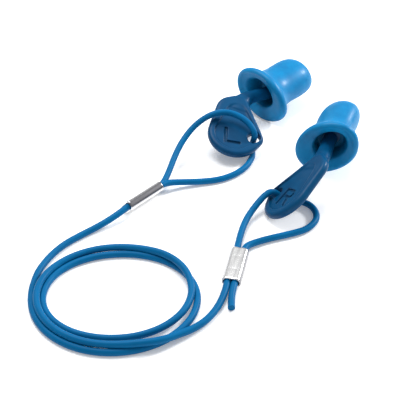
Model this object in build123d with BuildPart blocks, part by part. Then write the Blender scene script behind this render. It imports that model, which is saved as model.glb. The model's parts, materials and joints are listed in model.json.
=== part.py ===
from build123d import *

import os
from math import cos, pi, radians, sin, tan

# Corded reusable ear plugs: two oval foam pods, each pulled onto the pin of a moulded stem, and
# one cord that is looped through the eyelet of each stem and closed by a crimped metal ferrule.
# Millimetres, +Z up. The set lies on the ground, with the origin at the ground, under the middle
# of the two plugs.

os.makedirs("parts", exist_ok=True)

# ---------------------------------------------------------------------------------------------
# Driving dimensions
# ---------------------------------------------------------------------------------------------
CORD_D = 1.9

# Stem: a drop-shaped grip with a thick rounded rim, an eyelet for the cord, a bent neck, a pin
GRIP_R = 8.3
GRIP_THICKNESS = 2.6
GRIP_EDGE_R = 1.1
EYELET = (6.1, -0.5)
EYELET_R = 1.95
EYELET_LOBE_R = 3.0
EYELET_EASE = 0.35
LETTER_DEPTH = 0.55
LETTER_H = 6.0
LETTER_W = 5.2
STROKE = 1.0
LETTER_PLACE = (-0.6, -0.9)
BOWL_SHARE = 0.56
LEG_WIDTH = 1.25

# Outline of the grip beside the eyelet's lobe, as circles (x, y, radius), and the dish inside it
GRIP_CIRCLES = [(0, 0, GRIP_R), (-0.8, 9.4, 5.6), (0.5, 12.9, 2.9)]
DISH_CIRCLES = [(-0.3, -0.2, 6.0), (5.6, -0.5, 2.3), (0.2, 8.6, 3.1)]
DISH_DEPTH = 0.55

# Neck sections inside and above the grip: centre, direction, half width and half thickness
NECK_SECTIONS = [
    ((0.6, 9.8, -0.1), (0.20, 0.98, -0.02), 4.6, 1.15),
    ((1.5, 13.6, -0.6), (0.45, 0.88, -0.15), 3.4, 1.8),
    ((3.7, 16.8, -1.3), (0.70, 0.70, -0.15), 2.25, 2.15),
]
NECK_HALF_W = 1.95
NECK_HALF_T = 2.2
NECK_IN_MOUTH = 1.5
POD_CENTRE = (7.6, 19.6, -2.4)
PIN_DROP = 5.4

# Pod: radii are those of the long way across; the short way is OVAL times as much
OVAL = 0.765
POD_LENGTH = 21.0
FLANGE_R = 10.4
FLANGE_RIM = 1.2
MOUTH_R = 5.9
MOUTH_DEPTH = 6.5
MOUTH_FLOOR_R = 4.7
MOUTH_SHIFT = 1.3
WAIST_R = 6.8
BULLET_R = 7.0
# Outer line of the pod as (radius, distance from the tip) and, near the flange, (radius, depth)
TIP_FLAT = (3.2, 0.1)
TIP_LINE = [(5.5, 1.1), (6.6, 3.2), (BULLET_R, 6.5)]
FLARE_LINE = [(WAIST_R, 8.0), (7.4, 4.8), (8.4, 3.1)]

CORE_R = 3.1
CORE_LENGTH = 9.0
SOCKET_R = 1.7
SOCKET_DEPTH = 8.2
PIN_CLEARANCE = 0.065
PIN_LENGTH = 7.6
SHOULDER_GAP = 0.2

# Where each plug lies: grip centre, heading of the grip's long axis, its lift and its lean, and
# how far the neck is bent round to the pod
PLUGS = {
    "left": {
        "side": 1, "centre": (-14.9, 1.4, 6.1), "heading": 85.8, "lift": 18.0, "lean": -11.1, "turn": 42.4,
    },
    "right": {
        "side": -1, "centre": (-0.3, -30.4, 6.0), "heading": 40.0, "lift": 29.6, "lean": 29.1, "turn": 39.4,
    },
}

# Ferrules: a flattened tube on the two strands of each loop
FERRULE_LENGTH = 13.4
FERRULE_W = 5.0
FERRULE_T = 2.9
FERRULE_CORNER_R = 1.2
STRAND_GAP = 0.1
FERRULES = {
    "left": {"centre": (-41.9, -26.0, 2.35), "heading": 48.9, "roll": 47.8},
    "right": {"centre": (-15.9, -56.2, 1.45), "heading": 78.0, "roll": 0.0},
}

# Free cord, point by point. The left loop runs from the ferrule under the grip, up through the
# eyelet and back over the grip; the right loop runs over the grip's edge, down through the
# eyelet and back on the ground.
LOOP_LEFT = [
    (-37.0, -21.4, 3.1), (-35.3, -19.5, 2.8), (-31.8, -17.9, 2.0), (-26.0, -16.6, 1.2),
    (-20.0, -15.4, 1.0), (-15.2, -12.8, 1.1), (-11.6, -8.8, 1.0), (-9.9, -4.8, 1.1),
    (-9.3, -2.2, 1.0), (-9.3, 0.3, 1.0), (-9.3, 1.5, 2.8), (-8.6, 0.3, 6.5),
    (-9.0, 1.1, 8.0), (-10.4, 3.0, 9.4), (-13.5, 5.1, 10.8), (-17.6, 5.8, 11.8),
    (-22.0, 4.6, 11.7), (-26.8, 2.4, 9.3), (-30.4, -1.6, 6.6), (-32.8, -6.9, 4.5),
    (-34.6, -13.5, 2.8), (-36.2, -18.4, 1.9), (-38.0, -20.6, 1.6),
]
LOOP_RIGHT = [
    (-15.5, -49.5, 1.5), (-15.0, -46.8, 1.5), (-14.2, -42.2, 1.4), (-13.0, -37.5, 1.6),
    (-11.5, -33.9, 2.1), (-9.5, -30.8, 3.0), (-7.4, -28.2, 4.1), (-5.2, -26.3, 4.7),
    (-3.2, -25.6, 3.4), (-0.9, -25.9, 1.3), (2.6, -26.0, 1.2), (6.0, -27.6, 1.1),
    (7.7, -31.0, 1.0), (7.5, -35.3, 1.1), (4.6, -39.3, 1.0), (-0.3, -41.6, 1.1),
    (-5.6, -43.2, 1.0), (-10.3, -45.5, 1.2), (-12.8, -47.4, 1.4), (-13.6, -49.9, 1.5),
]
TAIL_RIGHT = [(-16.4, -63.0, 1.5), (-17.0, -66.0, 1.3), (-17.4, -69.1, 1.0), (-17.4, -72.2, 1.0)]
LEAD_LEFT = [
    (-45.9, -31.5, 3.1), (-48.5, -34.5, 2.6), (-53.0, -38.0, 1.5), (-58.0, -41.7, 1.0),
    (-62.3, -45.9, 1.1), (-65.5, -50.6, 1.0), (-67.5, -55.3, 1.0), (-68.6, -59.2, 1.0),
]
LEAD_RIGHT = [
    (-18.3, -62.7, 1.5), (-19.0, -66.5, 1.3), (-20.7, -71.6, 1.0), (-23.4, -76.5, 1.1),
    (-27.0, -80.2, 1.3), (-30.7, -82.8, 1.8), (-33.7, -84.9, 2.3),
]

# Coil: the outer shape of its loose turns, a low oval ring
COIL_CENTRE = (-47.5, -67.7)
COIL_HALF = (22.4, 21.75)
COIL_HOLE_CENTRE = (-46.9, -66.8)
COIL_HOLE_HALF = (17.9, 15.7)
COIL_HEIGHT = 3.0
COIL_EDGE_R = 0.9

BEND_SHARE = 0.45


# ---------------------------------------------------------------------------------------------
# Planes
# ---------------------------------------------------------------------------------------------
def grip_plane(plug):
    """The middle plane of a grip: x across it, y towards the neck, z out of its lettered face."""
    heading = radians(plug["heading"])
    level = Plane(origin=plug["centre"], x_dir=(sin(heading), -cos(heading), 0), z_dir=(0, 0, 1))
    return Plane(level.location * Location((0, 0, 0), (plug["lift"], -plug["lean"], 0)))


def plane_in(frame, origin, x_dir, z_dir):
    """A plane given in another plane's own coordinates."""
    return Plane(frame.location * Plane(origin=origin, x_dir=x_dir, z_dir=z_dir).location)


def pin_direction(plug):
    turn = radians(plug["turn"])
    drop = radians(PIN_DROP)
    return Vector(plug["side"] * sin(turn) * cos(drop), cos(turn) * cos(drop), -sin(drop))


def pin_plane(plug):
    """The plane of a pod's front rim: z along the pin towards the tip, x the long way across."""
    along = pin_direction(plug)
    centre = (plug["side"] * POD_CENTRE[0], POD_CENTRE[1], POD_CENTRE[2])
    across = along.cross(Vector(0, 0, 1))
    return plane_in(grip_plane(plug), centre, across, along)


def ferrule_plane(ferrule):
    """The plane across a ferrule's middle: z along the strands, x from strand to strand."""
    heading = radians(ferrule["heading"])
    along = Vector(cos(heading), sin(heading), 0)
    level = Vector(sin(heading), -cos(heading), 0)
    across = level * cos(radians(ferrule["roll"])) + Vector(0, 0, 1) * sin(radians(ferrule["roll"]))
    return Plane(origin=ferrule["centre"], x_dir=across, z_dir=along)


# ---------------------------------------------------------------------------------------------
# Stems
# ---------------------------------------------------------------------------------------------
def letter_strokes(side):
    """The strokes of a plain L or R, centred, as sketch objects in the running sketch."""
    left = -LETTER_W / 2
    with Locations((left + STROKE / 2, 0)):
        Rectangle(STROKE, LETTER_H)
    if side > 0:
        with Locations((0, (STROKE - LETTER_H) / 2)):
            Rectangle(LETTER_W, STROKE)
        return
    bowl_h = BOWL_SHARE * LETTER_H
    bowl_y = (LETTER_H - bowl_h) / 2
    with Locations((0, bowl_y)):
        RectangleRounded(LETTER_W, bowl_h, bowl_h / 2 - 0.01)
        Rectangle(LETTER_W - 2 * STROKE, bowl_h - 2 * STROKE, mode=Mode.SUBTRACT)
    with Locations((left + STROKE / 2, 0)):
        Rectangle(STROKE, LETTER_H)
    knee = bowl_y - bowl_h / 2 + STROKE
    foot = -LETTER_H / 2
    right = LETTER_W / 2
    Polygon((0, knee), (LEG_WIDTH, knee), (right, foot), (right - LEG_WIDTH, foot), align=None)


def make_stem(plug):
    side = plug["side"]
    grip = grip_plane(plug)
    front = grip.offset(GRIP_THICKNESS / 2)
    rim_front = pin_plane(plug)

    with BuildPart() as stem:
        # Grip: the outline wraps the round end, the eyelet's lobe and the narrowing top
        with BuildSketch(grip.offset(-GRIP_THICKNESS / 2)):
            for x, y, radius in GRIP_CIRCLES + [(*EYELET, EYELET_LOBE_R)]:
                with Locations((side * x, y)):
                    Circle(radius)
            make_hull()
        extrude(amount=GRIP_THICKNESS)
        fillet(stem.edges(), GRIP_EDGE_R)

        # Shallow dish in the face, inside the raised rim
        with BuildSketch(front):
            for x, y, radius in DISH_CIRCLES:
                with Locations((side * x, y)):
                    Circle(radius)
            make_hull()
        extrude(amount=-DISH_DEPTH, mode=Mode.SUBTRACT)

        # Neck: oval sections from inside the grip, round the bend, to the shoulder in the pod
        for (x, y, z), (turn_x, turn_y, turn_z), half_w, half_t in NECK_SECTIONS:
            x_dir = (turn_y, -side * turn_x, 0)
            z_dir = (side * turn_x, turn_y, turn_z)
            with BuildSketch(plane_in(grip, (side * x, y, z), x_dir, z_dir)):
                Ellipse(half_w, half_t)
        with BuildSketch(rim_front.offset(NECK_IN_MOUTH)):
            Ellipse(NECK_HALF_W, NECK_HALF_T)
        with BuildSketch(rim_front.offset(MOUTH_DEPTH - SHOULDER_GAP)):
            Ellipse(NECK_HALF_W, NECK_HALF_T)
        loft()

        # Pin: oval, so that a pod can't turn on it
        with BuildSketch(rim_front.offset(MOUTH_DEPTH - SHOULDER_GAP)):
            Ellipse(SOCKET_R - PIN_CLEARANCE, SOCKET_R * OVAL - PIN_CLEARANCE)
        extrude(amount=PIN_LENGTH)

        # Eyelet, right through the grip's lobe, with eased edges
        eyelet_centre = (side * EYELET[0], EYELET[1])
        with BuildSketch(front):
            with Locations(eyelet_centre):
                Circle(EYELET_R)
        extrude(amount=-GRIP_THICKNESS, mode=Mode.SUBTRACT)
        for face, inward in ((front.offset(-DISH_DEPTH), -1), (grip.offset(-GRIP_THICKNESS / 2), 1)):
            with BuildSketch(face):
                with Locations(eyelet_centre):
                    Circle(EYELET_R + EYELET_EASE)
            with BuildSketch(face.offset(EYELET_EASE * inward)):
                with Locations(eyelet_centre):
                    Circle(EYELET_R)
            loft(mode=Mode.SUBTRACT)

        # Letter sunk into the dish
        with BuildSketch(front.offset(-DISH_DEPTH)):
            with Locations((side * LETTER_PLACE[0], LETTER_PLACE[1])):
                with BuildSketch(mode=Mode.PRIVATE) as letter:
                    letter_strokes(side)
                add(letter.sketch)
        extrude(amount=-LETTER_DEPTH, mode=Mode.SUBTRACT)
    return stem


# ---------------------------------------------------------------------------------------------
# Pods: turned shapes, then narrowed one way to the oval of an ear canal
# ---------------------------------------------------------------------------------------------
with BuildPart() as pod_body:
    with BuildSketch(Plane.XZ):
        with BuildLine():
            rim_start = (FLANGE_R - FLANGE_RIM, 0)
            rim_end = (FLANGE_R - FLANGE_RIM, 2 * FLANGE_RIM)
            tip_line = [(radius, POD_LENGTH - back) for radius, back in [TIP_FLAT] + TIP_LINE]
            Line((0, 0), rim_start)
            ThreePointArc(rim_start, (FLANGE_R, FLANGE_RIM), rim_end)
            Spline(*tip_line, *FLARE_LINE, rim_end, tangents=((1, -0.05), (1, -0.15)))
            Line(tip_line[0], (0, POD_LENGTH))
            Line((0, POD_LENGTH), (0, 0))
        make_face()
    revolve(axis=Axis.Z)
    with BuildSketch(Plane.XY.offset(MOUTH_DEPTH)):
        Circle(CORE_R)
    extrude(amount=CORE_LENGTH, mode=Mode.SUBTRACT)
    scale(by=(1, OVAL, 1))


def make_pod_shape(side):
    """A pod, with its mouth wider on the outer side of the neck's bend."""
    with BuildPart() as pod_shape:
        add(pod_body.part)
        with BuildSketch():
            with Locations((-side * MOUTH_SHIFT, 0)):
                Ellipse(MOUTH_R, MOUTH_R * OVAL)
        with BuildSketch(Plane.XY.offset(MOUTH_DEPTH)):
            Ellipse(MOUTH_FLOOR_R, MOUTH_FLOOR_R * OVAL)
        loft(mode=Mode.SUBTRACT)
    return pod_shape


with BuildPart() as core_shape:
    with BuildSketch(Plane.XY.offset(MOUTH_DEPTH)):
        Circle(CORE_R)
    extrude(amount=CORE_LENGTH)
    with BuildSketch(Plane.XY.offset(MOUTH_DEPTH)):
        Circle(SOCKET_R)
    extrude(amount=SOCKET_DEPTH, mode=Mode.SUBTRACT)
    scale(by=(1, OVAL, 1))


# ---------------------------------------------------------------------------------------------
# Cord
# ---------------------------------------------------------------------------------------------
def bend_radii(route):
    """The largest radius that each corner's two runs allow."""
    radii = []
    points = [Vector(point) for point in route]
    for before, corner, after in zip(points, points[1:], points[2:]):
        turn = radians((corner - before).get_angle(after - corner))
        shorter = min((corner - before).length, (after - corner).length)
        radii.append(BEND_SHARE * shorter / tan(turn / 2))
    return radii


def make_tube(name, route):
    radii = bend_radii(route)
    with BuildPart() as tube:
        with BuildLine() as path:
            FilletPolyline(*route, radius=radii)
        centre_line = path.wire()
        with BuildSketch(Plane(origin=centre_line @ 0, z_dir=centre_line % 0)):
            Circle(CORD_D / 2)
        sweep(path=centre_line)
    length = centre_line.length
    print(name, "length", round(length, 1), "radii", [round(radius, 1) for radius in radii])
    print(name, "volume over section x length", round(tube.part.volume / (length * pi * CORD_D**2 / 4), 4))
    return tube


# ---------------------------------------------------------------------------------------------
# Pieces
# ---------------------------------------------------------------------------------------------
for which, plug in PLUGS.items():
    stem = make_stem(plug)
    stem.part.label = f"stem_{which}"
    export_step(stem.part, f"parts/stem_{which}.step")

    with BuildPart(pin_plane(plug)) as foam_pod:
        add(make_pod_shape(plug["side"]).part)
    foam_pod.part.label = f"foam_pod_{which}"
    export_step(foam_pod.part, f"parts/foam_pod_{which}.step")

    with BuildPart(pin_plane(plug)) as pod_core:
        add(core_shape.part)
    pod_core.part.label = f"pod_core_{which}"
    export_step(pod_core.part, f"parts/pod_core_{which}.step")

for which, ferrule in FERRULES.items():
    middle = ferrule_plane(ferrule)
    lane = (CORD_D + STRAND_GAP) / 2

    with BuildPart() as sleeve:
        with BuildSketch(middle):
            RectangleRounded(FERRULE_W, FERRULE_T, FERRULE_CORNER_R)
            SlotOverall(2 * (CORD_D + STRAND_GAP), CORD_D + STRAND_GAP, mode=Mode.SUBTRACT)
        extrude(amount=FERRULE_LENGTH / 2, both=True)
    sleeve.part.label = f"ferrule_{which}"
    export_step(sleeve.part, f"parts/ferrule_{which}.step")

    with BuildPart() as strands:
        with BuildSketch(middle):
            with Locations((-lane, 0), (lane, 0)):
                Circle(CORD_D / 2)
        extrude(amount=FERRULE_LENGTH / 2, both=True)
    strands.part.label = f"cord_crimp_{which}"
    export_step(strands.part, f"parts/cord_crimp_{which}.step")

routes = {
    "cord_loop_left": LOOP_LEFT,
    "cord_loop_right": LOOP_RIGHT,
    "cord_tail_right": TAIL_RIGHT,
    "cord_lead_left": LEAD_LEFT,
    "cord_lead_right": LEAD_RIGHT,
}
for name, route in routes.items():
    tube = make_tube(name, route)
    tube.part.label = name
    export_step(tube.part, f"parts/{name}.step")

with BuildPart() as cord_coil:
    with BuildSketch():
        with Locations(COIL_CENTRE):
            Ellipse(*COIL_HALF)
        with Locations(COIL_HOLE_CENTRE):
            Ellipse(*COIL_HOLE_HALF, mode=Mode.SUBTRACT)
    extrude(amount=COIL_HEIGHT)
    fillet(cord_coil.edges(), COIL_EDGE_R)
cord_coil.part.label = "cord_coil"
export_step(cord_coil.part, "parts/cord_coil.step")
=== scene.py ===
import json
from math import cos, pi, radians, sin

import bmesh
import bpy
import numpy as np
from mathutils import Matrix, Vector


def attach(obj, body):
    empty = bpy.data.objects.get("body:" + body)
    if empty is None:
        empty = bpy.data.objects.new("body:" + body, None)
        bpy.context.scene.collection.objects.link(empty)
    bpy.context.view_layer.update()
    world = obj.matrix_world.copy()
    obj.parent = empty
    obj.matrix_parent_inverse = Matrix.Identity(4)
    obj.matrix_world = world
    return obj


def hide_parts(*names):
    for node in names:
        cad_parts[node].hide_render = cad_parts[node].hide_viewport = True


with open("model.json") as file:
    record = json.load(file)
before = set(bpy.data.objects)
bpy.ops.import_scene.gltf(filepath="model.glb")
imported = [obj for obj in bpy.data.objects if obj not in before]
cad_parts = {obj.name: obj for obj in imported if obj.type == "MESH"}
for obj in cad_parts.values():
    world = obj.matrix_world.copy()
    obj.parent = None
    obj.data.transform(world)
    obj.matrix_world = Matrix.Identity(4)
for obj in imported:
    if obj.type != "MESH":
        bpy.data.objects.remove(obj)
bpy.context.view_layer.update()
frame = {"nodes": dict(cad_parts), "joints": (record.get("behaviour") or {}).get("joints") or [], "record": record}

# Corded foam ear plugs on a pale floor. Lengths are in millimetres, times MM.
MM = 0.001

# ---------------------------------------------------------------------------------------------
# Camera
# ---------------------------------------------------------------------------------------------
VIEW_TARGET = Vector((-25.4, -24.1, 0.0))
VIEW_ELEVATION = radians(36)
VIEW_DISTANCE = 313.95
LENS = 97.2
SENSOR = 36.0


def make_camera():
    data = bpy.data.cameras.new("camera")
    data.lens = LENS
    data.sensor_width = SENSOR
    data.clip_start = 0.01
    data.clip_end = 10
    camera = bpy.data.objects.new("camera", data)
    bpy.context.scene.collection.objects.link(camera)
    back = Vector((0, -cos(VIEW_ELEVATION), sin(VIEW_ELEVATION)))
    camera.location = (VIEW_TARGET + back * VIEW_DISTANCE) * MM
    camera.rotation_euler = (-back).to_track_quat("-Z", "Y").to_euler()
    bpy.context.scene.camera = camera


# ---------------------------------------------------------------------------------------------
# Cord: one spline from the cut end in the left ferrule to the tail in the right ferrule
# ---------------------------------------------------------------------------------------------
CORD_D = 1.9
CUT_END = (-46.8, -30.6, 1.6)
LOOP_LEFT = [
    (-37.0, -21.4, 3.1), (-35.3, -19.5, 2.8), (-31.8, -17.9, 2.0), (-26.0, -16.6, 1.2),
    (-20.0, -15.4, 1.0), (-15.2, -12.8, 1.1), (-11.6, -8.8, 1.0), (-9.9, -4.8, 1.1),
    (-9.3, -2.2, 1.0), (-9.3, 0.3, 1.0), (-9.3, 1.5, 2.8), (-8.6, 0.3, 6.5),
    (-9.0, 1.1, 8.0), (-10.4, 3.0, 9.4), (-13.5, 5.1, 10.8), (-17.6, 5.8, 11.8),
    (-22.0, 4.6, 11.7), (-26.8, 2.4, 9.3), (-30.4, -1.6, 6.6), (-32.8, -6.9, 4.5),
    (-34.6, -13.5, 2.8), (-36.2, -18.4, 1.9), (-38.0, -20.6, 1.6),
]
LEAD_LEFT = [
    (-45.9, -31.5, 3.1), (-48.5, -34.5, 2.6), (-53.0, -38.0, 1.5), (-58.0, -41.7, 1.0),
    (-62.3, -45.9, 1.1), (-65.5, -50.6, 1.0), (-67.5, -55.3, 1.0), (-68.6, -59.2, 1.0),
]
LEAD_RIGHT = [
    (-18.3, -62.7, 1.5), (-19.0, -66.5, 1.3), (-20.7, -71.6, 1.0), (-23.4, -76.5, 1.1),
    (-27.0, -80.2, 1.3), (-30.7, -82.8, 1.8), (-33.7, -84.9, 2.3),
]
LOOP_RIGHT = [
    (-15.5, -49.5, 1.5), (-15.0, -46.8, 1.5), (-14.2, -42.2, 1.4), (-13.0, -37.5, 1.6),
    (-11.5, -33.9, 2.1), (-9.5, -30.8, 3.0), (-7.4, -28.2, 4.1), (-5.2, -26.3, 4.7),
    (-3.2, -25.6, 3.4), (-0.9, -25.9, 1.3), (2.6, -26.0, 1.2), (6.0, -27.6, 1.1),
    (7.7, -31.0, 1.0), (7.5, -35.3, 1.1), (4.6, -39.3, 1.0), (-0.3, -41.6, 1.1),
    (-5.6, -43.2, 1.0), (-10.3, -45.5, 1.2), (-12.8, -47.4, 1.4), (-13.6, -49.9, 1.5),
]
TAIL_RIGHT = [(-16.4, -63.0, 1.5), (-17.0, -66.0, 1.3), (-17.4, -69.1, 1.0), (-17.4, -72.2, 1.0)]

# Coil: loose turns, as (angle, distance from the middle) and (angle, height) along the cord
COIL_CENTRE = (-47.2, -67.3)
COIL_RADII = [
    (90, 23.2), (180, 22.0), (270, 21.3), (360, 21.6), (450, 17.2), (540, 19.2), (630, 16.2),
    (720, 20.1), (810, 18.9), (900, 20.6), (990, 19.85), (1015, 21.6), (1040, 24.2),
]
COIL_HEIGHTS = [
    (180, 0.95), (640, 0.95), (700, 1.9), (725, 2.2), (745, 2.95), (770, 2.9), (795, 2.1), (855, 1.9),
    (900, 2.4), (945, 2.2), (990, 2.1), (1004, 2.95), (1018, 2.95),
]
COIL_START = 180
COIL_END = 1017
COIL_STEP = 22.5


def eased(stations, at):
    """The value at an angle, on a smooth line through the stations (Catmull-Rom)."""
    last = max(i for i in range(1, len(stations) - 2) if stations[i][0] <= at)
    before, low, high, after = stations[last - 1:last + 3]
    span = high[0] - low[0]
    share = (at - low[0]) / span
    slope_low = (high[1] - before[1]) / (high[0] - before[0]) * span
    slope_high = (after[1] - low[1]) / (after[0] - low[0]) * span
    return (
        (2 * share**3 - 3 * share**2 + 1) * low[1] + (share**3 - 2 * share**2 + share) * slope_low
        + (3 * share**2 - 2 * share**3) * high[1] + (share**3 - share**2) * slope_high
    )


def coil_turns():
    angles, heights = zip(*COIL_HEIGHTS)
    steps = round((COIL_END - COIL_START) / COIL_STEP)
    turns = []
    for step in range(steps + 1):
        angle = COIL_START + (COIL_END - COIL_START) * step / steps
        radius = eased(COIL_RADII, angle)
        x = COIL_CENTRE[0] + radius * cos(radians(angle))
        y = COIL_CENTRE[1] + radius * sin(radians(angle))
        turns.append((x, y, float(np.interp(angle, angles, heights))))
    return turns


def make_cord(material):
    left = [CUT_END] + LOOP_LEFT[::-1] + LEAD_LEFT
    right = LEAD_RIGHT[::-1] + LOOP_RIGHT + TAIL_RIGHT
    route = left + coil_turns() + right
    curve = bpy.data.curves.new("cord", "CURVE")
    curve.dimensions = "3D"
    curve.bevel_depth = CORD_D / 2 * MM
    curve.bevel_resolution = 6
    curve.resolution_u = 12
    curve.use_fill_caps = True
    spline = curve.splines.new("NURBS")
    spline.points.add(len(route) - 1)
    for point, place in zip(spline.points, route):
        point.co = (*(Vector(place) * MM), 1)
    spline.order_u = 3
    spline.use_endpoint_u = True
    spline.use_smooth = True
    cord = bpy.data.objects.new("cord", curve)
    bpy.context.scene.collection.objects.link(cord)
    curve.materials.append(material)
    return cord


# ---------------------------------------------------------------------------------------------
# Materials
# ---------------------------------------------------------------------------------------------
def new_material(name):
    material = bpy.data.materials.new(name)
    material.use_nodes = True
    return material, material.node_tree, material.node_tree.nodes["Principled BSDF"]


def node(tree, kind, settings=(), **inputs):
    made = tree.nodes.new(kind)
    for key, value in dict(settings).items():
        setattr(made, key, value)
    for key, value in inputs.items():
        made.inputs[key.replace("_", " ")].default_value = value
    return made


def noise(tree, grain, detail=3.0, stretch=(1, 1, 1)):
    """Noise with features about grain millimetres across, fixed to the object."""
    place = node(tree, "ShaderNodeTexCoord")
    mapping = node(tree, "ShaderNodeMapping")
    mapping.inputs["Scale"].default_value = stretch
    texture = node(tree, "ShaderNodeTexNoise", Scale=1 / (grain * MM), Detail=detail)
    tree.links.new(place.outputs["Object"], mapping.inputs["Vector"])
    tree.links.new(mapping.outputs["Vector"], texture.inputs["Vector"])
    return texture.outputs["Fac"]


def ramp(tree, factor, low, high, start=0.3, end=0.7):
    """A colour ramp between two colours."""
    colours = node(tree, "ShaderNodeValToRGB")
    colours.color_ramp.elements[0].position = start
    colours.color_ramp.elements[1].position = end
    colours.color_ramp.elements[0].color = (*low, 1)
    colours.color_ramp.elements[1].color = (*high, 1)
    tree.links.new(factor, colours.inputs["Fac"])
    return colours.outputs["Color"]


def spread(tree, factor, low, high):
    """A number from low to high."""
    numbers = node(tree, "ShaderNodeMapRange")
    numbers.inputs["To Min"].default_value = low
    numbers.inputs["To Max"].default_value = high
    tree.links.new(factor, numbers.inputs["Value"])
    return numbers.outputs["Result"]


def bump(tree, shader, heights):
    """Bumps, one over another: (factor, depth in mm)."""
    normal = None
    for factor, depth in heights:
        step = node(tree, "ShaderNodeBump", Strength=1.0, Distance=depth * MM)
        tree.links.new(factor, step.inputs["Height"])
        if normal:
            tree.links.new(normal, step.inputs["Normal"])
        normal = step.outputs["Normal"]
    tree.links.new(normal, shader.inputs["Normal"])


def multiplied(tree, colour, other):
    multiply = node(tree, "ShaderNodeMix", {"data_type": "RGBA", "blend_type": "MULTIPLY"})
    multiply.inputs["Factor"].default_value = 1.0
    tree.links.new(colour, multiply.inputs["A"])
    tree.links.new(other, multiply.inputs["B"])
    return multiply.outputs["Result"]


def shaded(tree, colour, reach, darkest):
    """The colour, darker where walls closer than reach millimetres shut the light out."""
    corner = node(tree, "ShaderNodeAmbientOcclusion", Distance=reach * MM)
    return multiplied(tree, colour, spread(tree, corner.outputs["AO"], darkest, 1.0))


def foam_material():
    material, tree, shader = new_material("foam_skin")
    cloud = noise(tree, 4.0)
    grain = noise(tree, 0.25, detail=4.0)
    cells = noise(tree, 0.9)
    colour = ramp(tree, cloud, (0.001, 0.150, 0.350), (0.002, 0.192, 0.425))
    tree.links.new(shaded(tree, colour, 4.0, 0.35), shader.inputs["Base Color"])
    tree.links.new(spread(tree, cells, 0.36, 0.50), shader.inputs["Roughness"])
    shader.inputs["Specular IOR Level"].default_value = 0.12
    shader.inputs["Coat Weight"].default_value = 0.07
    shader.inputs["Coat Roughness"].default_value = 0.2
    shader.inputs["Subsurface Weight"].default_value = 0.12
    shader.inputs["Subsurface Radius"].default_value = (0.2, 0.6, 1.0)
    shader.inputs["Subsurface Scale"].default_value = 1.2 * MM
    bump(tree, shader, [(cells, 0.03), (grain, 0.012)])
    return material


def stem_material():
    material, tree, shader = new_material("stem_plastic")
    cloud = noise(tree, 5.0)
    grain = noise(tree, 0.18, detail=4.0)
    colour = ramp(tree, cloud, (0.001, 0.047, 0.128), (0.001, 0.062, 0.158))
    tree.links.new(shaded(tree, colour, 0.9, 0.25), shader.inputs["Base Color"])
    shader.inputs["Specular IOR Level"].default_value = 0.08
    tree.links.new(spread(tree, noise(tree, 1.2), 0.30, 0.44), shader.inputs["Roughness"])
    shader.inputs["Coat Weight"].default_value = 0.06
    shader.inputs["Coat Roughness"].default_value = 0.25
    bump(tree, shader, [(noise(tree, 1.6), 0.02), (grain, 0.006)])
    return material


def core_material():
    material, tree, shader = new_material("core_plastic")
    tree.links.new(
        ramp(tree, noise(tree, 2.0), (0.008, 0.06, 0.16), (0.012, 0.08, 0.20)), shader.inputs["Base Color"]
    )
    tree.links.new(spread(tree, noise(tree, 0.6), 0.45, 0.6), shader.inputs["Roughness"])
    bump(tree, shader, [(noise(tree, 0.2), 0.006)])
    return material


def cord_material():
    material, tree, shader = new_material("cord_jacket")
    cloud = noise(tree, 6.0)
    grain = noise(tree, 0.3, detail=3.0)
    colour = ramp(tree, cloud, (0.001, 0.103, 0.258), (0.001, 0.120, 0.298))
    tree.links.new(colour, shader.inputs["Base Color"])
    shader.inputs["Specular IOR Level"].default_value = 0.06
    tree.links.new(spread(tree, noise(tree, 1.0), 0.34, 0.48), shader.inputs["Roughness"])
    bump(tree, shader, [(noise(tree, 1.5), 0.012), (grain, 0.005)])
    return material


def ferrule_material(which):
    """Nickel, drawn lengthwise, with painted shade on the narrow sides where the sheet folds round: dark
    reflections painted into the colour.
    """
    material, tree, shader = new_material(f"ferrule_nickel_{which}")
    shader.inputs["Metallic"].default_value = 1.0
    place = node(tree, "ShaderNodeTexCoord")
    mapping = node(tree, "ShaderNodeMapping", {"vector_type": "TEXTURE"})
    mapping.inputs["Rotation"].default_value = (0, 0, radians(FERRULE_CENTRES[which]["heading"]))
    mapping.inputs["Scale"].default_value = (DRAWN_STRETCH, 1, 1)
    drawn = node(tree, "ShaderNodeTexNoise", Scale=1 / (DRAWN_GRAIN * MM), Detail=3.0)
    tree.links.new(place.outputs["Object"], mapping.inputs["Vector"])
    tree.links.new(mapping.outputs["Vector"], drawn.inputs["Vector"])
    painted_edge_shade = node(tree, "ShaderNodeAttribute", {"attribute_name": "painted_edge_shade"})
    bands = ramp(tree, drawn.outputs["Fac"], (0.84, 0.84, 0.85), (0.95, 0.95, 0.95), 0.38, 0.56)
    # Painted shade: the colour darkens towards the narrow sides, standing in for the dark reflections they would
    # show
    shade = ramp(tree, painted_edge_shade.outputs["Fac"], (1, 1, 1), (0.26, 0.26, 0.28), 0.80, 0.93)
    tree.links.new(multiplied(tree, bands, shade), shader.inputs["Base Color"])
    tree.links.new(spread(tree, drawn.outputs["Fac"], 0.18, 0.28), shader.inputs["Roughness"])
    bump(tree, shader, [(drawn.outputs["Fac"], 0.004)])
    return material


def floor_material():
    material, tree, shader = new_material("floor_pale")
    tree.links.new(
        ramp(tree, noise(tree, 60.0), (0.93, 0.93, 0.93), (0.94, 0.94, 0.94)), shader.inputs["Base Color"]
    )
    shader.inputs["Roughness"].default_value = 0.9
    shader.inputs["Emission Color"].default_value = (1, 1, 1, 1)
    shader.inputs["Emission Strength"].default_value = 0.2
    return material


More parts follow.
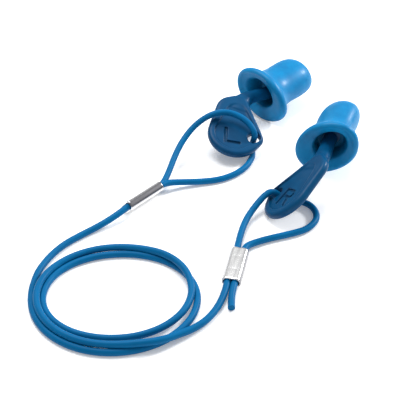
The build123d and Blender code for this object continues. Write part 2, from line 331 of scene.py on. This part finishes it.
# ---------------------------------------------------------------------------------------------
# Mesh helpers
# ---------------------------------------------------------------------------------------------
def make_object(name, vertices, faces, material):
    mesh = bpy.data.meshes.new(name)
    mesh.from_pydata([tuple(v) for v in vertices], [], faces)
    mesh.materials.append(material)
    mesh.update()
    tidy = bmesh.new()
    tidy.from_mesh(mesh)
    bmesh.ops.recalc_face_normals(tidy, faces=tidy.faces)
    tidy.to_mesh(mesh)
    tidy.free()
    mesh.polygons.foreach_set("use_smooth", [True] * len(mesh.polygons))
    made = bpy.data.objects.new(name, mesh)
    bpy.context.scene.collection.objects.link(made)
    return made


def ring_faces(rings, around, closed=False):
    """Quads between rings of points; closed also joins the last ring to the first."""
    faces = []
    for ring in range(rings if closed else rings - 1):
        for step in range(around):
            a = ring * around + step
            b = ring * around + (step + 1) % around
            c = (ring + 1) % rings * around + (step + 1) % around
            d = (ring + 1) % rings * around + step
            faces.append((a, b, c, d))
    return faces


def curve_points(points, per_span):
    """Points on a smooth line through the given ones (Catmull-Rom), ends included."""
    padded = [2 * Vector(points[0]) - Vector(points[1])] + [Vector(p) for p in points]
    padded.append(2 * Vector(points[-1]) - Vector(points[-2]))
    line = []
    for a, b, c, d in zip(padded, padded[1:], padded[2:], padded[3:]):
        for step in range(per_span):
            t = step / per_span
            square = (2 * a - 5 * b + 4 * c - d) * t**2
            cube = (3 * b - a - 3 * c + d) * t**3
            line.append(0.5 * (2 * b + (c - a) * t + square + cube))
    line.append(Vector(points[-1]))
    return line


# ---------------------------------------------------------------------------------------------
# Foam pods
# ---------------------------------------------------------------------------------------------
OVAL = 0.765
POD_LENGTH = 21.0
MOUTH_SHIFT = 1.4
MOUTH_FLOOR = 6.4
# (radius the long way across, depth along the pod), from the mouth's floor round the rim to the tip
POD_PROFILE = [
    (3.0, 6.45), (4.2, 6.4), (4.75, 5.8), (5.0, 4.2), (5.3, 2.6), (5.55, 1.7), (5.9, 1.15), (6.5, 0.85),
    (7.6, 0.5), (8.6, 0.15), (9.3, 0.03), (9.95, 0.2), (10.35, 0.75), (10.4, 1.4), (10.15, 2.1), (9.6, 2.5),
    (9.0, 2.62), (8.75, 2.9), (8.5, 3.4), (7.95, 4.2), (7.45, 5.3), (7.05, 6.9), (6.85, 9.0), (6.9, 11.5),
    (6.98, 14.0), (6.9, 16.2), (6.6, 17.9), (6.0, 19.3), (5.1, 20.3), (3.9, 20.8), (2.4, 20.95), (1.0, 21.0),
]
POD_AROUND = 96
MOUTH_EDGE_R = 9.3
MOUTH_EDGE_EASE = 2.6
CORE_LENGTH = 9.0
SPAN_STEPS = 3
WAVE_PHASE = {"left": 0.7, "right": 2.9}


def pod_places():
    """For each side, the pod's own frame: x the long way across, z from the mouth to the tip."""
    mounts = {mount["name"]: mount for mount in frame["record"]["mounts"]}
    joints = {joint["name"]: joint for joint in frame["joints"]}
    places = {}
    for which in ("left", "right"):
        tip = Vector(mounts[f"ear_canal_{which}"]["pos_m"])
        along = Vector(mounts[f"ear_canal_{which}"]["axis"]).normalized()
        across = along.cross(Vector(joints[f"swing_{which}"]["axis"])).normalized()
        turn = Matrix((across, along.cross(across), along)).transposed()
        places[which] = Matrix.Translation(tip - along * POD_LENGTH * MM) @ turn.to_4x4()
    return places


def make_pod(which, place, material):
    line = curve_points([(radius, depth, 0) for radius, depth in POD_PROFILE], SPAN_STEPS)
    phase = WAVE_PHASE[which]
    outward = -1 if which == "left" else 1
    vertices = []
    inside = True
    for radius, depth, _ in line:
        inside = inside and radius < MOUTH_EDGE_R
        # The mouth's edge lies off centre, and its walls come back to the middle at its floor
        shift = 0.0
        if inside:
            ease = min(1.0, (MOUTH_EDGE_R - radius) / MOUTH_EDGE_EASE)
            shift = outward * MOUTH_SHIFT * max(0.0, 1 - depth / MOUTH_FLOOR) * ease
        for step in range(POD_AROUND):
            turn = 2 * pi * step / POD_AROUND
            # Soft foam is never quite round: slow waves, more of them at the rim
            wave = 1 + 0.006 * sin(2 * turn + phase + depth / 6) + 0.004 * sin(5 * turn + 3 * phase)
            rim = 0.15 * sin(3 * turn + phase) * max(0.0, 1 - depth / 5)
            vertices.append((
                shift + radius * wave * cos(turn), OVAL * radius * wave * sin(turn), depth + rim,
            ))
    faces = ring_faces(len(line), POD_AROUND)
    vertices.append((0, 0, POD_LENGTH))
    tip = len(vertices) - 1
    last = (len(line) - 1) * POD_AROUND
    faces += [(last + step, last + (step + 1) % POD_AROUND, tip) for step in range(POD_AROUND)]
    # Behind the mouth's floor the foam is closed by a cone as long as the core, which it cuts
    back = len(vertices)
    vertices.append((0, 0, POD_PROFILE[0][1] + CORE_LENGTH))
    faces += [((step + 1) % POD_AROUND, step, back) for step in range(POD_AROUND)]
    placed = [place @ (Vector(vertex) * MM) for vertex in vertices]
    pod = make_object(f"foam_{which}", placed, faces, material)
    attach(pod, f"pod_{which}")
    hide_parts(f"foam_pod_{which}")
    return pod


# ---------------------------------------------------------------------------------------------
# Stems: the same shape, with its edges melted together as moulded rubbery plastic has them, and
# most of all where the dish runs out into the neck
# ---------------------------------------------------------------------------------------------
STEM_VOXEL = 0.14
STEM_SMOOTHING = 3
NECK_SMOOTHING = 60
GRIP_TURN = {"left": 42.4, "right": -39.4}
MELT_START = 4.5
MELT_END = 8.0
MELT_LEVELS = 10


def melt_weights(mesh, which):
    """For each vertex, 0 on the lettered face and the pin and 1 from the dish's end to the mouth."""
    joint = {joint["name"]: joint for joint in frame["joints"]}[f"swing_{which}"]
    normal = Vector(joint["axis"]).normalized()
    eyelet = Vector(joint["pos_m"]) / MM
    pod = pod_places()[which]
    rim = pod.translation / MM
    along = pod.to_3x3() @ Vector((0, 0, 1))
    towards = Matrix.Rotation(radians(GRIP_TURN[which]), 3, normal) @ (along - normal * along.dot(normal))
    towards.normalize()
    places = np.empty(3 * len(mesh.vertices))
    mesh.vertices.foreach_get("co", places)
    places = places.reshape(-1, 3)
    up = (places - np.array(eyelet)) @ np.array(towards)
    past_rim = (places - np.array(rim)) @ np.array(along)
    rise = np.clip((up - MELT_START) / (MELT_END - MELT_START), 0, 1)
    return rise * np.clip(1.5 - past_rim / 2, 0, 1)


def applied(piece):
    """The piece's mesh with its modifiers applied."""
    bpy.context.view_layer.update()
    mesh = bpy.data.meshes.new_from_object(piece.evaluated_get(bpy.context.evaluated_depsgraph_get()))
    piece.modifiers.clear()
    piece.data = mesh
    return mesh


def make_stem(which, material):
    mesh = frame["nodes"][f"stem_{which}"].data.copy()
    mesh.transform(Matrix.Scale(1 / MM, 4))
    grip = bpy.data.objects.new(f"grip_{which}", mesh)
    bpy.context.scene.collection.objects.link(grip)
    remesh = grip.modifiers.new("melt", "REMESH")
    remesh.mode = "VOXEL"
    remesh.voxel_size = STEM_VOXEL
    mesh = applied(grip)
    weights = melt_weights(mesh, which)
    group = grip.vertex_groups.new(name="neck")
    for level in range(1, MELT_LEVELS + 1):
        rows = np.nonzero(np.round(weights * MELT_LEVELS) == level)[0]
        group.add([int(row) for row in rows], level / MELT_LEVELS, "REPLACE")
    for iterations, limit in ((STEM_SMOOTHING, ""), (NECK_SMOOTHING, "neck")):
        smooth = grip.modifiers.new("smooth", "SMOOTH")
        smooth.factor = 0.5
        smooth.iterations = iterations
        smooth.vertex_group = limit
    mesh = applied(grip)
    mesh.transform(Matrix.Scale(MM, 4))
    mesh.materials.clear()
    mesh.materials.append(material)
    mesh.polygons.foreach_set("use_smooth", [True] * len(mesh.polygons))
    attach(grip, f"stem_{which}")
    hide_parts(f"stem_{which}")
    return grip


# ---------------------------------------------------------------------------------------------
# Ferrules: a folded sheet-metal sleeve, lightly crimped twice, with its seam down one broad face
# ---------------------------------------------------------------------------------------------
FERRULE_LENGTH = 13.4
FERRULE_W = 5.0
FERRULE_T = 2.9
FERRULE_CORNER_R = 1.2
FERRULE_WALL = 0.42
DRAWN_GRAIN = 0.9
DRAWN_STRETCH = 14
FERRULE_CENTRES = {
    "left": {"centre": (-41.9, -26.0, 2.35), "heading": 48.9, "roll": 47.8},
    "right": {"centre": (-15.9, -56.2, 1.45), "heading": 78.0, "roll": 0.0},
}
FERRULE_AROUND = 64
FERRULE_RINGS = 40
CRIMPS = (0.3, 0.7)
CRIMP_DEPTH = 0.03
CRIMP_REACH = 0.07
END_EASE = 0.10
END_REACH = 0.25
SEAM_DEPTH = 0.10
SEAM_HALF_WIDTH = 0.16
FLAT_HALF_WIDTH = 2.2


def sleeve_section(width, thickness, corner):
    """A rounded rectangle's points, evenly spaced by angle within each corner and along each side."""
    points = []
    per_corner = per_side = FERRULE_AROUND // 8
    for quarter in range(4):
        start = quarter * pi / 2
        middle = start + pi / 4
        x = (width / 2 - corner) * (1 if cos(middle) > 0 else -1)
        y = (thickness / 2 - corner) * (1 if sin(middle) > 0 else -1)
        for step in range(per_corner):
            turn = start + pi / 2 * step / (per_corner - 1)
            points.append((x + corner * cos(turn), y + corner * sin(turn)))
        end = Vector(points[-1])
        turn = start + pi / 2
        next_x = (width / 2 - corner) * (1 if cos(middle + pi / 2) > 0 else -1)
        next_y = (thickness / 2 - corner) * (1 if sin(middle + pi / 2) > 0 else -1)
        next_start = Vector((next_x + corner * cos(turn), next_y + corner * sin(turn)))
        for step in range(1, per_side + 1):
            points.append(tuple(end.lerp(next_start, step / (per_side + 1))))
    return points


def ferrule_place(settings):
    heading = radians(settings["heading"])
    roll = radians(settings["roll"])
    along = Vector((cos(heading), sin(heading), 0))
    level = Vector((sin(heading), -cos(heading), 0))
    across = level * cos(roll) + Vector((0, 0, 1)) * sin(roll)
    turn = Matrix((across, along.cross(across), along)).transposed()
    return Matrix.Translation(Vector(settings["centre"]) * MM) @ turn.to_4x4()


def make_ferrule(which, material):
    place = ferrule_place(FERRULE_CENTRES[which])
    outer = sleeve_section(FERRULE_W, FERRULE_T, FERRULE_CORNER_R)
    inner = sleeve_section(
        FERRULE_W - 2 * FERRULE_WALL, FERRULE_T - 2 * FERRULE_WALL, FERRULE_CORNER_R - FERRULE_WALL
    )
    rings = []
    for ring in range(FERRULE_RINGS + 1):
        share = ring / FERRULE_RINGS
        height = (share - 0.5) * FERRULE_LENGTH
        # Two shallow crimps press the broad faces in; the ends are eased
        crimp = sum(CRIMP_DEPTH * max(0.0, 1 - abs(share - at) / CRIMP_REACH) ** 2 for at in CRIMPS)
        end = min(share, 1 - share) * FERRULE_LENGTH
        ease = END_EASE * max(0.0, 1 - end / END_REACH) ** 2
        for x, y in outer:
            seam = SEAM_DEPTH * max(0.0, 1 - abs(x) / SEAM_HALF_WIDTH) if y < 0 else 0.0
            side = 1 if y > 0 else -1
            flat = max(0.0, 1 - abs(x) / FLAT_HALF_WIDTH)
            rings.append((
                x * (1 - ease / FERRULE_W), y - side * (crimp * flat + ease + seam), height,
            ))
    count = FERRULE_RINGS + 1
    for ring in range(count - 1, -1, -1):
        height = (ring / FERRULE_RINGS - 0.5) * FERRULE_LENGTH
        rings += [(x, y, height) for x, y in inner]
    faces = ring_faces(2 * count, len(outer), closed=True)
    placed = [place @ (Vector(vertex) * MM) for vertex in rings]
    sleeve = make_object(f"sleeve_{which}", placed, faces, material)
    # Mask for the painted shade on the narrow sides: 0 down the middle of the broad faces, 1 at the sides
    painted_edge_shade = sleeve.data.attributes.new("painted_edge_shade", "FLOAT", "POINT")
    painted_edge_shade.data.foreach_set("value", [abs(2 * x / FERRULE_W) for x, _, _ in rings])
    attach(sleeve, "cord")
    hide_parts(f"ferrule_{which}")
    return sleeve


# ---------------------------------------------------------------------------------------------
# Light and floor
# ---------------------------------------------------------------------------------------------
FLOOR_HALF = 1.5


def make_floor(material):
    corners = [(-FLOOR_HALF, -FLOOR_HALF, 0), (FLOOR_HALF, -FLOOR_HALF, 0), (FLOOR_HALF, FLOOR_HALF, 0),
               (-FLOOR_HALF, FLOOR_HALF, 0)]
    floor = make_object("floor", corners, [(0, 1, 2, 3)], material)


def make_light(name, place, size, power, target=(0, -20, 5)):
    data = bpy.data.lights.new(name, "AREA")
    data.shape = "DISK"
    data.size = size * MM
    data.energy = power
    light = bpy.data.objects.new(name, data)
    light.location = Vector(place) * MM
    aim = Vector(target) - Vector(place)
    light.rotation_euler = aim.to_track_quat("-Z", "Y").to_euler()
    bpy.context.scene.collection.objects.link(light)


def make_world():
    world = bpy.data.worlds.new("studio")
    bpy.context.scene.world = world
    world.use_nodes = True
    sky = world.node_tree.nodes["Background"]
    sky.inputs["Color"].default_value = (1, 1, 1, 1)
    sky.inputs["Strength"].default_value = 0.52


# ---------------------------------------------------------------------------------------------
# The scene
# ---------------------------------------------------------------------------------------------
make_camera()

cord = make_cord(cord_material())
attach(cord, "cord")
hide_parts(*[name for name in frame["nodes"] if name.startswith("cord_")])
sleeves = [make_ferrule(which, ferrule_material(which)) for which in ("left", "right")]

foam = foam_material()
plastic = stem_material()
core = core_material()
for which, place in pod_places().items():
    make_pod(which, place, foam)
    make_stem(which, plastic)
    shell = frame["nodes"][f"pod_core_{which}"]
    shell.data.materials.clear()
    shell.data.materials.append(core)

make_floor(floor_material())
make_light("key", (-100, 120, 440), 340, 2.3)
make_light("edge", (330, 190, 230), 90, 1.8)
make_world()
bpy.context.scene.view_settings.view_transform = "Standard"
